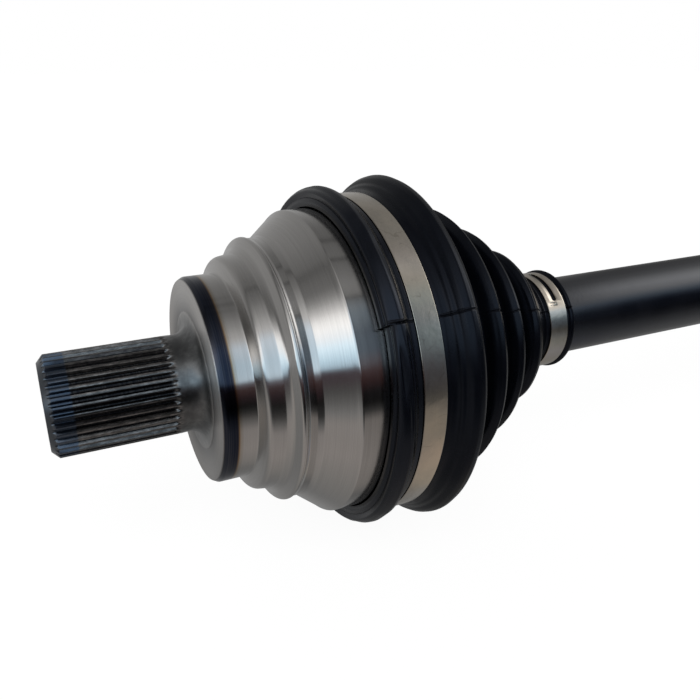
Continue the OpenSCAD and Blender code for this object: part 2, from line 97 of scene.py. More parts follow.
def even_angles(count):
    return np.arange(count) * 2 * math.pi / count


def turn_from(angles, centre):
    """How far each angle lies from a centre, in radians from -pi to pi."""
    return (angles - centre + math.pi) % (2 * math.pi) - math.pi


def link_object(name, data):
    obj = bpy.data.objects.new(name, data)
    bpy.context.collection.objects.link(obj)
    return obj


def face_outwards(mesh, merge_distance=0):
    """Turns all faces outwards, and first merges points that lie closer than the distance."""
    work = bmesh.new()
    work.from_mesh(mesh)
    if merge_distance:
        bmesh.ops.remove_doubles(work, verts=work.verts, dist=merge_distance)
    bmesh.ops.recalc_face_normals(work, faces=work.faces)
    work.to_mesh(mesh)
    work.free()


def smooth_faces(mesh, sharp):
    """Smooth shading, with edges sharper than the angle in degrees left sharp."""
    mesh.shade_smooth()
    mesh.set_sharp_from_angle(angle=math.radians(sharp))


def ring_mesh(name, x, r, angles, loop=False, sharp=35):
    """A mesh of rings round the X axis; x and r hold a value for each ring, or each ring and angle."""
    rings, sides = len(x), len(angles)
    x = np.broadcast_to(np.asarray(x, float).reshape(rings, -1), (rings, sides))
    r = np.broadcast_to(np.asarray(r, float).reshape(rings, -1), (rings, sides))
    points = np.stack([x, r * np.cos(angles), r * np.sin(angles)], axis=-1).reshape(-1, 3) * MM
    rows = np.arange(rings if loop else rings - 1)[:, None]
    next_rows = (rows + 1) % rings
    column = np.arange(sides)
    next_column = (column + 1) % sides
    here = (rows * sides + column).ravel()
    right = (rows * sides + next_column).ravel()
    up = (next_rows * sides + column).ravel()
    up_right = (next_rows * sides + next_column).ravel()
    mesh = bpy.data.meshes.new(name)
    mesh.from_pydata(points.tolist(), [], np.stack([here, right, up_right, up], axis=1).tolist())
    face_outwards(mesh, merge_distance=1e-7)
    smooth_faces(mesh, sharp)
    return link_object(name, mesh)


def apply_modifiers(obj):
    """Turns an object's modifiers into its mesh."""
    graph = bpy.context.evaluated_depsgraph_get()
    mesh = bpy.data.meshes.new_from_object(obj.evaluated_get(graph))
    obj.modifiers.clear()
    obj.data = mesh


# Node trees
class Nodes:
    """Short calls for the shader nodes of one tree."""

    def __init__(self, tree):
        self.tree = tree

    def new(self, kind, **inputs):
        node = self.tree.nodes.new("ShaderNode" + kind)
        for key, value in inputs.items():
            self.set(node.inputs[key.replace("_", " ")], value)
        return node

    def set(self, socket, value):
        if isinstance(value, bpy.types.NodeSocket):
            self.tree.links.new(value, socket)
        else:
            socket.default_value = value

    def math(self, operation, a, b=0.0):
        node = self.new("Math")
        node.operation = operation
        self.set(node.inputs[0], a)
        self.set(node.inputs[1], b)
        return node.outputs[0]

    def plus(self, a, b):
        return self.math("ADD", a, b)

    def times(self, a, b):
        return self.math("MULTIPLY", a, b)

    def span(self, value, low, high, to_low=0.0, to_high=1.0, smooth=True):
        """Runs from to_low at low to to_high at high, and stays there beyond them."""
        node = self.new("MapRange")
        node.interpolation_type = "SMOOTHSTEP" if smooth else "LINEAR"
        for socket, number in zip(node.inputs, (value, low, high, to_low, to_high)):
            self.set(socket, number)
        return node.outputs[0]

    def ramp(self, value, stops):
        """A colour by value; each stop is a value with a colour or a grey tone."""
        node = self.new("ValToRGB")
        elements = node.color_ramp.elements
        while len(elements) < len(stops):
            elements.new(0.5)
        low, high = stops[0][0], stops[-1][0]
        for element, (place, colour) in zip(elements, stops):
            element.position = (place - low) / (high - low)
            element.color = (*colour, 1.0) if isinstance(colour, tuple) else (colour,) * 3 + (1.0,)
        self.set(node.inputs[0], self.span(value, low, high, smooth=False))
        return node.outputs[0]

    def mix(self, factor, a, b):
        node = self.new("Mix")
        node.data_type = "RGBA"
        for socket, value in zip((node.inputs[0], node.inputs[6], node.inputs[7]), (factor, a, b)):
            self.set(socket, value if not isinstance(value, tuple) else (*value, 1.0))
        return node.outputs[2]

    def noise(self, vector, scale, detail=2.0, roughness=0.5):
        node = self.new("TexNoise", Vector=vector, Scale=scale, Detail=detail, Roughness=roughness)
        return node.outputs["Fac"]

    def place(self):
        """The surface point in millimetres: the vector, x, y, z and the distance from the axis."""
        scaled = self.new("VectorMath")
        scaled.operation = "SCALE"
        self.set(scaled.inputs[0], self.new("TexCoord").outputs["Object"])
        scaled.inputs["Scale"].default_value = 1 / MM
        point = scaled.outputs[0]
        x, y, z = self.new("SeparateXYZ", Vector=point).outputs
        r = self.math("SQRT", self.plus(self.math("POWER", y, 2.0), self.math("POWER", z, 2.0)))
        return point, x, y, z, r

    def vector(self, x, y, z):
        return self.new("CombineXYZ", X=x, Y=y, Z=z).outputs[0]

    def bump(self, height, distance, strength=1.0, before=None):
        node = self.new("Bump", Height=height, Distance=distance, Strength=strength)
        if before is not None:
            self.set(node.inputs["Normal"], before)
        return node.outputs["Normal"]


def material(name):
    """A new material with one Principled shader."""
    mat = bpy.data.materials.new(name)
    mat.use_nodes = True
    nodes = Nodes(mat.node_tree)
    shader = mat.node_tree.nodes["Principled BSDF"]
    return mat, nodes, shader


def rounded_edges(nodes, radius):
    """A normal that reads as a small bevel along the CAD solids' edges."""
    node = nodes.new("Bevel", Radius=radius)
    node.samples = 4
    return node.outputs[0]


BLACK = (0.0, 0.0, 0.0)


def bell_colour(nodes, x, z):
    """Bare turned steel, with a dark band behind the shoulder's face, and painted light and shade on that
    face.
    """
    clean = (0.50, 0.487, 0.472)
    # Painted light: the face's tone is lighter than the clean steel, so that its top reads lit
    face = (0.645, 0.628, 0.609)
    # The band is blued by induction hardening, with a straw-coloured border
    colour = nodes.ramp(x, [
        (-1.0, face), (0.05, face), (0.35, (0.030, 0.034, 0.048)), (2.0, (0.020, 0.026, 0.044)),
        (3.5, (0.014, 0.018, 0.034)), (3.9, (0.045, 0.040, 0.050)), (4.15, (0.26, 0.17, 0.09)),
        (4.5, (0.40, 0.36, 0.31)), (5.4, clean), (9.0, clean)])
    # Painted shade: the shoulder's face is darkened towards its lower side, by height
    on_face = nodes.span(x, 0.3, 0.5, 1.0, 0.0)
    return nodes.mix(nodes.times(on_face, nodes.span(z, -24.0, 24.0, 0.38, 0.0)), colour, BLACK)


def stub_colour(nodes, x, y, z, r, wear):
    """Dark phosphate in the roots, worn and speckled on the crests, slightly blued at the end, with painted
    shade on the underside.
    """
    speck_at = nodes.vector(nodes.times(x, 0.45), nodes.times(y, 1.7), nodes.times(z, 1.7))
    speck = nodes.noise(speck_at, 1.0, 5.0, 0.75)
    crest = nodes.mix(nodes.span(speck, 0.40, 0.68), (0.085, 0.084, 0.084), (0.25, 0.24, 0.235))
    colour = nodes.mix(nodes.span(r, 13.12, 13.42), (0.010, 0.011, 0.014), crest)
    # Painted shade: the underside is darker
    colour = nodes.mix(nodes.span(z, -11.0, -6.0, 0.4, 0.0), colour, BLACK)
    neck = nodes.mix(nodes.span(wear, 0.4, 0.7), (0.135, 0.138, 0.140), (0.20, 0.205, 0.205))
    colour = nodes.mix(nodes.span(x, -7.5, -5.5), colour, neck)
    blued = nodes.span(nodes.plus(x, nodes.times(speck, 0.8)), -33.4, -32.9, 1.0, 0.0)
    blue = nodes.mix(nodes.span(x, -38.9, -38.2), (0.13, 0.145, 0.165), (0.062, 0.086, 0.125))
    return nodes.mix(nodes.times(blued, 0.8), colour, blue)


def make_turned_steel():
    mat, nodes, shader = material("turned_steel")
    point, x, y, z, r = nodes.place()
    wear = nodes.noise(point, 0.35, 4.0, 0.6)
    clean_part = nodes.span(nodes.plus(r, nodes.times(wear, 2.0)), 17.6, 23.5)
    colour = nodes.mix(clean_part, stub_colour(nodes, x, y, z, r, wear), bell_colour(nodes, x, z))
    # Turning marks: fine rings across the profile, a little uneven round the part
    along = nodes.plus(x, r)
    marks_at = nodes.vector(nodes.times(along, 3.2), nodes.times(y, 0.03), nodes.times(z, 0.03))
    marks = nodes.noise(marks_at, 1.0, 3.0, 0.7)
    colour = nodes.mix(nodes.times(nodes.span(marks, 0.35, 0.75), 0.16), colour, (0.2, 0.19, 0.18))
    nodes.set(shader.inputs["Base Color"], colour)
    shader.inputs["Metallic"].default_value = 1.0
    broad = nodes.noise(nodes.vector(nodes.times(along, 0.6), 0.0, 0.0), 1.0, 1.0)
    rough = nodes.plus(nodes.times(broad, 0.06), 0.12)
    # The coarse feed marks on the step and the shoulder's face smear what they mirror
    step = nodes.times(nodes.span(x, 9.6, 10.2), nodes.span(x, 16.4, 17.2, 1.0, 0.0))
    rough = nodes.math("MAXIMUM", rough, nodes.times(step, 0.21))
    rough = nodes.math("MAXIMUM", rough, nodes.span(x, 0.2, 0.5, 0.42, 0.0))
    rough = nodes.mix(clean_part, (0.36, 0.36, 0.36), nodes.vector(rough, rough, rough))
    nodes.set(shader.inputs["Roughness"], rough)
    nodes.set(shader.inputs["Anisotropic"], nodes.plus(nodes.times(step, 0.12), 0.8))
    shader.inputs["Anisotropic Rotation"].default_value = 0.25
    tangent = nodes.new("Tangent")
    tangent.direction_type = "RADIAL"
    tangent.axis = "X"
    nodes.set(shader.inputs["Tangent"], tangent.outputs[0])
    height = nodes.times(marks, nodes.span(r, 18.0, 24.0, 0.25, 1.0))
    nodes.set(shader.inputs["Normal"], nodes.bump(height, 0.00002, 0.35))
    return mat


def make_rubber():
    mat, nodes, shader = material("boot_rubber")
    point, x, y, z, r = nodes.place()
    cloud = nodes.noise(point, 0.09, 3.0)
    grain = nodes.noise(point, 2.2, 4.0, 0.6)
    colour = nodes.mix(nodes.span(cloud, 0.35, 0.75), (0.0010, 0.0013, 0.0024), (0.0020, 0.0024, 0.0038))
    dust = nodes.span(nodes.noise(point, 0.9, 6.0, 0.7), 0.68, 0.8)
    colour = nodes.mix(nodes.times(dust, 0.15), colour, (0.03, 0.03, 0.034))
    nodes.set(shader.inputs["Base Color"], colour)
    nodes.set(shader.inputs["Roughness"], nodes.span(cloud, 0.3, 0.8, 0.26, 0.33))
    # The lip is glossier than the folds
    nodes.set(shader.inputs["Specular IOR Level"], nodes.span(x, 46.0, 50.0, 0.30, 0.17))
    shader.inputs["Specular Tint"].default_value = (0.72, 0.80, 1.0, 1.0)
    # Soft ripples left by the mould run round the boot and fade in and out
    ripple_at = nodes.vector(nodes.times(x, 0.26), nodes.times(r, 0.26), nodes.noise(point, 0.035, 1.0))
    ripple = nodes.noise(ripple_at, 1.0, 1.0, 0.4)
    nodes.set(shader.inputs["Normal"], nodes.bump(grain, 0.00003, 0.35, nodes.bump(ripple, 0.0030, 0.8)))
    return mat


def make_clamp_steel():
    mat, nodes, shader = material("clamp_steel")
    point, x, y, z, r = nodes.place()
    cloud = nodes.noise(point, 0.10, 4.0, 0.6)
    # Fine hairlines run round the band
    scratch_at = nodes.vector(nodes.times(x, 4.0), nodes.times(y, 0.05), nodes.times(z, 0.05))
    scratch = nodes.noise(scratch_at, 1.0, 3.0, 0.6)
    colour = nodes.mix(nodes.span(cloud, 0.35, 0.7), (0.53, 0.475, 0.40), (0.47, 0.43, 0.37))
    colour = nodes.mix(nodes.times(nodes.span(scratch, 0.60, 0.75), 0.35), colour, (0.62, 0.58, 0.50))
    # Faint curling marks
    curl = nodes.math("ABSOLUTE", nodes.math("SUBTRACT", nodes.noise(point, 0.16, 1.5), 0.5))
    curl = nodes.times(nodes.span(curl, 0.002, 0.012, 1.0, 0.0), nodes.span(cloud, 0.5, 0.6, 0.0, 0.35))
    colour = nodes.mix(curl, colour, (0.22, 0.19, 0.14))
    nodes.set(shader.inputs["Base Color"], colour)
    shader.inputs["Metallic"].default_value = 1.0
    nodes.set(shader.inputs["Roughness"], nodes.span(cloud, 0.3, 0.8, 0.15, 0.22))
    waves = nodes.noise(point, 0.35, 2.0, 0.5)
    nodes.set(shader.inputs["Normal"], nodes.bump(waves, 0.0002, 0.18, nodes.bump(scratch, 0.00001, 0.12)))
    return mat


def make_bar_paint():
    mat, nodes, shader = material("bar_paint")
    point, x = nodes.place()[:2]
    grain = nodes.noise(point, 0.9, 3.0, 0.6)
    cloud = nodes.noise(point, 0.12, 2.0)
    colour = nodes.mix(nodes.span(cloud, 0.3, 0.8), (0.0022, 0.0026, 0.0042), (0.0036, 0.0040, 0.0060))
    # The splined ends inside the joints are bare steel
    bare = nodes.plus(nodes.span(x, 66.0, 67.0, 1.0, 0.0), nodes.span(x, 452.0, 453.0))
    nodes.set(shader.inputs["Base Color"], nodes.mix(bare, colour, (0.36, 0.36, 0.37)))
    nodes.set(shader.inputs["Metallic"], bare)
    nodes.set(shader.inputs["Roughness"], nodes.span(cloud, 0.3, 0.8, 0.15, 0.20))
    shader.inputs["Specular Tint"].default_value = (0.92, 0.94, 1.0, 1.0)
    nodes.set(shader.inputs["Normal"], nodes.bump(grain, 0.00003, 0.4))
    return mat


def make_plain(name, low, high, metallic, rough):
    """A material whose colour wanders between two tones, with a fine grain."""
    mat, nodes, shader = material(name)
    point = nodes.place()[0]
    cloud = nodes.noise(point, 0.2, 4.0, 0.6)
    grain = nodes.noise(point, 2.4, 3.0, 0.6)
    nodes.set(shader.inputs["Base Color"], nodes.mix(nodes.span(cloud, 0.35, 0.7), low, high))
    shader.inputs["Metallic"].default_value = metallic
    nodes.set(shader.inputs["Roughness"], nodes.span(grain, 0.3, 0.8, rough - 0.05, rough + 0.07))
    nodes.set(shader.inputs["Normal"], nodes.bump(grain, 0.00002, 0.5, rounded_edges(nodes, 0.0003)))
    return mat


FLANGE_FROM, FLANGE_TO, FLANGE_R = 504.0, 514.0, 54.0


def make_forged():
    """Phosphated forging, with turned bare steel on the flange's edge and face."""
    mat, nodes, shader = material("forged_steel")
    point, x, y, z, r = nodes.place()
    cloud = nodes.noise(point, 0.08, 3.0)
    forged = nodes.mix(nodes.span(cloud, 0.35, 0.7), (0.060, 0.062, 0.066), (0.105, 0.106, 0.110))
    face = nodes.span(x, FLANGE_TO - 1.6, FLANGE_TO - 1.1)
    edge = nodes.times(nodes.span(x, FLANGE_FROM - 0.4, FLANGE_FROM + 0.2),
                       nodes.span(r, FLANGE_R - 0.8, FLANGE_R - 0.3))
    bare = nodes.math("MAXIMUM", face, edge)
    nodes.set(shader.inputs["Base Color"], nodes.mix(bare, forged, (0.46, 0.45, 0.44)))
    nodes.set(shader.inputs["Metallic"], nodes.span(bare, 0.0, 1.0, 0.75, 1.0))
    nodes.set(shader.inputs["Roughness"], nodes.mix(bare, (0.55, 0.55, 0.55), (0.30, 0.30, 0.30)))
    marks = nodes.noise(nodes.vector(nodes.times(nodes.plus(x, r), 3.0), 0.0, 0.0), 1.0, 2.0)
    normal = nodes.bump(marks, 0.00002, 0.3, rounded_edges(nodes, 0.0008))
    rough_skin = nodes.times(nodes.noise(point, 0.45, 5.0, 0.65), nodes.math("SUBTRACT", 1.0, bare))
    nodes.set(shader.inputs["Normal"], nodes.bump(rough_skin, 0.00025, 0.5, normal))
    return mat


materials = {
    "turned_steel": make_turned_steel(),
    "boot_rubber": make_rubber(),
    "clamp_steel": make_clamp_steel(),
    "bar_paint": make_bar_paint(),
    "forged_steel": make_forged(),
    "ground_steel": make_plain("ground_steel", (0.50, 0.50, 0.51), (0.58, 0.57, 0.56), 1.0, 0.28),
    "polished_steel": make_plain("polished_steel", (0.72, 0.72, 0.74), (0.8, 0.8, 0.81), 1.0, 0.1),
    "spring_steel": make_plain("spring_steel", (0.16, 0.17, 0.20), (0.25, 0.25, 0.27), 1.0, 0.32),
    "cap_steel": make_plain("cap_steel", (0.50, 0.48, 0.40), (0.58, 0.56, 0.48), 1.0, 0.3),
    "thrust_plastic": make_plain("thrust_plastic", (0.70, 0.64, 0.48), (0.76, 0.71, 0.56), 0.0, 0.45),
    "adapter_plastic": make_plain("adapter_plastic", (0.02, 0.02, 0.021), (0.03, 0.03, 0.031), 0.0, 0.5),
}


def dress(piece, slot, body=None, nodes=()):
    """Gives a new piece its material and its body, and hides the CAD nodes that it stands for."""
    piece.data.materials.clear()
    piece.data.materials.append(materials[slot])
    if body:
        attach(piece, body)
    if nodes:
        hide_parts(*nodes)


# Outer joint housing with its splined stub
STUB_END = -40.2
TOOTH_COUNT = 36
TIP_R, TOOTH_H = 14.0, 0.95
TEETH_FULL_TO, TEETH_END, SPLINE_END = -8.9, -6.3, -6.0
SHOULDER_R, JOURNAL_END = 29.7, 9.3
STEP_R, STEP_END = 34.7, 15.2
BEAD_R, BEAD_X = 39.0, 18.9
BELL_R, BELL_X = 45.5, 31.4
JOINT_X, RIM_X = 46.0, 60.0
BALL_COUNT = 6
CAVITY_FROM = 17.6
SPHERE_R, TRACK_PATH_R, TRACK_R, TRACK_SWEEP = 35.5, 29.1, 11.03, 42.0
HOLE_R, HOLE_END = 8.1, 1.8

# The points over one tooth and one gap, and the gap's depth by the distance from the tooth's middle,
# both as shares of the pitch
TOOTH_POINTS = np.array([-0.17, -0.06, 0.06, 0.17, 0.26, 0.36, 0.45, 0.55, 0.64, 0.74])
FLANK_AT = [0, 0.12, 0.17, 0.26, 0.36, 0.42, 0.5]
FLANK_DEPTH = [0, 0, 0.07, 0.5, 0.94, 1, 1]


def bell_outline():
    """The outside of the housing from the stub's end to the rim."""
    stub = [(STUB_END, HOLE_R + 1.4), (STUB_END, 11.9), (STUB_END + 0.15, 12.1)]
    stub += [(-39.2, 13.04), (-38.75, 13.53)]
    stub += [(x, TIP_R) for x in np.linspace(-38.3, -10.0, 12)]
    stub += [(x, TIP_R) for x in np.linspace(-9.6, SPLINE_END, 13)]
    neck = arc(-4.0, TIP_R + 3.9, 4.0, -95, 0, 10)
    shoulder = [(0, 18.4), (0, 19.7), (0.22, 20.0), (0.1, 24.0), (0, 28.9), (1.4, SHOULDER_R),
                (JOURNAL_END, SHOULDER_R)]
    step = [(JOURNAL_END + 0.35, 30.6)]
    step += arc(STEP_END - 2.8, STEP_R - 2.45, 2.0, 162, 97)
    step += [(STEP_END, STEP_R), (STEP_END + 1.3, STEP_R + 1.1)]
    bead = [(BEAD_X - 1.9, BEAD_R - 2.6)] + arc(BEAD_X, BEAD_R - 1, 1, 160, 50, 5)
    bead += [(BEAD_X + 1.4, BEAD_R - 0.5), (BEAD_X + 3.4, BEAD_R - 0.5), (BEAD_X + 5, BEAD_R - 0.1)]
    cone = [(BELL_X - 0.7, BELL_R - 1.0), (BELL_X + 0.4, BELL_R)]
    rim = [(RIM_X - 1, BELL_R), (RIM_X, BELL_R - 1), (RIM_X, SPHERE_R + 0.5)]
    return stub + neck + soften(shoulder + step + bead + cone + rim, 0.25)


def tooth_depth(angles):
    """How deep the gap between the teeth is at each angle, from 0 on a tip to 1 in a root."""
    pitch = (angles / (2 * math.pi) * TOOTH_COUNT) % 1.0
    return np.interp(np.minimum(pitch, 1 - pitch), FLANK_AT, FLANK_DEPTH)


def track_wall(x, angles):
    """Radius of the cavity's wall, the ball tracks included, at each ring and angle."""
    half_pitch = math.pi / BALL_COUNT
    across = (angles + half_pitch) % (2 * half_pitch) - half_pitch
    tries = np.linspace(18, 42, 481)
    u = np.asarray(x)[:, None, None] - JOINT_X
    v = tries * np.cos(across)[:, None]
    w = tries * np.sin(across)[:, None]
    off = np.hypot(np.hypot(u, v) - TRACK_PATH_R, w)
    within = (off < TRACK_R) & (np.abs(np.degrees(np.arctan2(u, v))) < TRACK_SWEEP)
    return np.where(within, tries, 0).max(axis=2)


def make_bell():
    angles = ((np.arange(TOOTH_COUNT)[:, None] + TOOTH_POINTS) * 2 * math.pi / TOOTH_COUNT).ravel()
    out_x, out_r = np.array(bell_outline()).T
    depth = TOOTH_H * (1 - smooth_step(out_x, TEETH_FULL_TO, TEETH_END))
    toothed = np.where(out_x < SPLINE_END, TIP_R, np.inf)[:, None] - depth[:, None] * tooth_depth(angles)
    outside = np.minimum(out_r[:, None], toothed)
    cavity_x = np.concatenate([[RIM_X, 57.5], np.linspace(55.5, 19.5, 37), [CAVITY_FROM]])
    sphere = np.sqrt(np.maximum(SPHERE_R ** 2 - (cavity_x - JOINT_X) ** 2, 0))
    # The cavity flares a little at the rim
    sphere[:2] = [34.9, 33.4]
    cavity = np.maximum(sphere[:, None], track_wall(cavity_x, angles))
    hole_x, hole_r = np.array([(HOLE_END + 3, 0), (HOLE_END, HOLE_R), (STUB_END + 1.4, HOLE_R)]).T
    hole = np.broadcast_to(hole_r[:, None], (3, len(angles)))
    x = np.concatenate([hole_x, out_x, cavity_x, [CAVITY_FROM]])
    r = np.concatenate([hole, outside, cavity, np.zeros((1, len(angles)))])
    return ring_mesh("outer_bell_turned", x, r, angles, sharp=40)


dress(make_bell(), "turned_steel", "outer_housing", ["outer_joint_bell"])

THREAD_FROM, THREAD_TO = -38.8, 1.4
THREAD_PITCH, THREAD_BORE_R, THREAD_DEPTH = 1.5, 7.25, 0.72


def make_thread():
    """The threaded sleeve in the stub, M16 by 1.5, as one helical wall with a plain back."""
    turns = np.arange(THREAD_FROM, THREAD_TO, 0.25)
    angles = even_angles(72)
    phase = (turns[:, None] / THREAD_PITCH + angles / (2 * math.pi)) % 1.0
    groove = 1 - np.abs(phase * 2 - 1)
    inner = THREAD_BORE_R + THREAD_DEPTH * np.clip(groove * 1.25, 0, 1)
    x = np.concatenate([[THREAD_TO, THREAD_FROM], turns])
    back = np.full((2, len(angles)), HOLE_R - 0.01)
    return ring_mesh("stub_thread", x, np.concatenate([back, inner]), angles, loop=True, sharp=60)


dress(make_thread(), "turned_steel", "outer_housing")


# Boots
SEAM_AZ = math.radians(150.0)
SEAMS = (SEAM_AZ, SEAM_AZ - math.pi)
BAR_R = 13.55
WALL = 2.4
SEAT_HALF = 3.8
COLLAR_R = 15.85


def seam_angles(count):
    """Even angles with many more near the two mould seams."""
    near = np.radians(np.arange(-1.6, 1.65, 0.12))
    return np.sort(np.concatenate([even_angles(count)] + [seam + near for seam in SEAMS]) % (2 * math.pi))


def seam_ridge(x, r, angles, height, width):
    """The mould's parting line along the boot, on two sides: a ragged groove beside a low ridge of flash."""
    rng = np.random.default_rng(7)
    coarse, fine = np.arange(-60, 600, 3.0), np.arange(-60, 600, 1.5)
    wander = np.interp(x, coarse, rng.normal(0, 0.16, len(coarse)))
    lift = np.interp(x, fine, rng.uniform(0.45, 1.1, len(fine)))
    total = np.zeros((len(x), len(angles)))
    for seam in SEAMS:
        distance = turn_from(angles, seam)[None, :] * r[:, None] - wander[:, None]
        total -= height * lift[:, None] * hump(distance, width)
        total += 0.45 * height * hump(distance + 2.2 * width, width)
    return total


def fold_line(crest_x, crest_r, valley_x, valley_r):
    """The outline over a boot's folds, crest to crest."""
    line = []
    for i, (x, r) in enumerate(zip(crest_x, crest_r)):
        if i:
            line += wave(valley_x[i - 1], valley_r[i - 1], x, r)
        if i < len(valley_x):
            line += wave(x, r, valley_x[i], valley_r[i])
    return line + [(crest_x[-1], crest_r[-1])]


def boot_mesh(name, outer, radii, inner, angles, large_x, small_x):
    """A boot between its outside, given as an outline and its radii, and its inner outline."""
    x, r = outer.T
    # Nothing stands out under the clamps
    under_clamp = (np.abs(x - large_x) < SEAT_HALF + 0.1) | (np.abs(x - small_x) < SEAT_HALF - 0.1)
    radii[under_clamp] = r[under_clamp][:, None]
    inner_x, inner_r = inner.T
    inside = np.broadcast_to(inner_r[:, None], (len(inner), len(angles)))
    return ring_mesh(name, np.concatenate([x, inner_x]), np.concatenate([radii, inside]),
                     angles, loop=True, sharp=50)


# Outer boot
LIP_FROM = 38.8
LIP_X, LIP_R = 42.0, 51.7
CREST_X = [62.2, 77.8, 89.7, 102.2]
CREST_R = [53.5, 42.5, 35.0, 26.6]
VALLEY_X = [73.6, 84.7, 97.2]
VALLEY_R = [37.5, 28.1, 21.5]
SEAT_R, CLAMP_X = 48.4, 50.9
SMALL_CLAMP_X, BOOT_END_X = 119.0, 126.0

# Each long crease's x, first and last angle in degrees, and depth
LIP_CREASES = ((43.3, 152, 196, 0.40), (40.7, 156, 178, 0.35), (42.2, 168, 188, 0.30))
LIP_FOLDS_X, FOLDS_EACH = (40.3, 41.6, 43.1, 44.6), 5
SHORT_CREASES = 26


def outer_boot_outlines():
    """The boot's outside from the lip to the collar, and its inside back to the lip."""
    seat_from, seat_to = CLAMP_X - SEAT_HALF, CLAMP_X + SEAT_HALF
    collar_x = SMALL_CLAMP_X - 5.9
    lip = [(38.9, 45.95), (LIP_FROM, 47.3), (39.1, 48.4), (39.35, 48.5)]
    lip += arc(LIP_X, LIP_R - 3.6, 3.6, 150, 15, 14)
    lip += [(seat_from, SEAT_R + 0.5), (seat_from + 0.2, SEAT_R)]
    seat = [(seat_from + 0.4, SEAT_R), (seat_to, SEAT_R)]
    folds = fold_line(CREST_X, CREST_R, VALLEY_X, VALLEY_R)
    collar = [(collar_x, COLLAR_R), (SMALL_CLAMP_X + 3.8, COLLAR_R)]
    collar += arc(SMALL_CLAMP_X + 5.3, COLLAR_R + 0.1, 1.1, 150, 10, 6)
    collar += [(BOOT_END_X, COLLAR_R - 0.7), (BOOT_END_X, BAR_R)]
    outer = soften(lip, 0.15) + soften(seat, 0.1)
    outer += wave(seat_to + 0.2, SEAT_R + 0.3, *folds[0]) + folds[:-1]
    outer += wave(*folds[-1], collar_x, COLLAR_R) + collar
    inner = [(collar_x - 1, BAR_R), (collar_x - 2, BAR_R + 0.5)]
    inner += [(x, r - WALL) for x, r in folds[::-2]]
    inner += [(60.8, CREST_R[0] - WALL - 1.5), (60.3, BELL_R + 0.05), (41.4, BELL_R + 0.05), (40.9, 45.9)]
    return np.array(outer), np.array(inner)


def lip_relief(x, angles, on_lip):
    """How far the lip's creases, dent and shallow folds lie below its smooth form."""
    rng = np.random.default_rng(11)
    x = x[:, None]
    depth = np.zeros((len(x), len(angles)))
    for _ in range(SHORT_CREASES):
        centre, width = rng.uniform(0, 2 * math.pi), math.radians(rng.uniform(2.0, 6.5))
        depth += on_lip * rng.uniform(0.05, 0.22) * hump(turn_from(angles, centre), width)
    dent_at = turn_from(angles, math.radians(164.0))
    depth += 0.6 * hump(x - 41.2, 1.3) * hump(dent_at, math.radians(8))
    turn = np.degrees(angles)
    for centre_x, first, last, crease in LIP_CREASES:
        reach = smooth_step(turn, first, first + 4) * (1 - smooth_step(turn, last - 14, last))
        lean = 0.5 * np.sin(0.04 * (turn - first))
        depth += crease * reach * hump(x - centre_x - lean, 0.42)
    # Each shallow fold runs over a part of the round
    for centre_x in LIP_FOLDS_X:
        for _ in range(FOLDS_EACH):
            centre, width = rng.uniform(0, 2 * math.pi), math.radians(rng.uniform(14, 40))
            off = turn_from(angles, centre)
            depth += rng.uniform(0.05, 0.14) * hump(x - centre_x - 0.5 * off, 0.6) * hump(off, width)
    return depth


def step_lip_back(boot):
    """The lip's edge steps back where it meets the seam, and runs out again past it."""
    run_out, steep = math.radians(42), math.radians(0.4)
    for vertex in boot.data.vertices:
        at = vertex.co / MM
        past = (math.atan2(at.z, at.y) - SEAM_AZ) % (2 * math.pi)
        if at.x < LIP_FROM + 2.2 and past < run_out:
            step_back = 1.25 * (1 - past / run_out) * min(1.0, past / steep)
            vertex.co.x += step_back * (1 - (at.x - LIP_FROM) / 2.2) * MM


def make_outer_boot():
    outer, inner = outer_boot_outlines()
    angles = seam_angles(288)
    x, r = outer.T
    on_lip = (smooth_step(x, 39.0, 40.2) * (1 - smooth_step(x, 44.2, 46.8)))[:, None]
    past_seat = smooth_step(x, 46.5, 55.0)[:, None]
    radii = r[:, None] - lip_relief(x, angles, on_lip)
    radii += seam_ridge(x, r, angles, 0.30, 0.20) * (0.4 + 0.6 * past_seat)
    radii += seam_ridge(x, r, angles, 0.50, 0.24) * on_lip
    boot = boot_mesh("outer_boot_moulded", outer, radii, inner, angles, CLAMP_X, SMALL_CLAMP_X)
    step_lip_back(boot)
    dress(boot, "boot_rubber", nodes=["outer_boot"])
    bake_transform(boot)


make_outer_boot()

# Inner boot, in two parts that meet on a ring between the second crest and the second valley
MOUTH_X, INNER_LIP_END = 421.0, 436.0
ADAPTER_R = 42.0
INNER_SEAT_R = ADAPTER_R + 2.2
INNER_LIP_R = INNER_SEAT_R + 1.2
INNER_CLAMP_X = MOUTH_X + 8
INNER_END_X = 346.5
INNER_SMALL_CLAMP_X = INNER_END_X + 7
INNER_PITCH = 11.5
INNER_CREST_X = [416.0 - INNER_PITCH * i for i in range(5)]
INNER_VALLEY_X = [x - INNER_PITCH / 2 for x in INNER_CREST_X[:-1]]
INNER_CREST_R = [43.8, 43.5, 41.5, 36.0, 26.0]
INNER_VALLEY_R = [39.4, 40.3, 37.0, 27.0]
MEET_X = 400.0


def inner_boot_part(name, outer, inner):
    angles = seam_angles(216)
    outer, inner = np.array(outer), np.array(inner)
    x, r = outer.T
    radii = r[:, None] + seam_ridge(x, r, angles, 0.26, 0.22)
    part = boot_mesh(name, outer, radii, inner, angles, INNER_CLAMP_X, INNER_SMALL_CLAMP_X)
    dress(part, "boot_rubber", nodes=["inner_boot"])
    return part


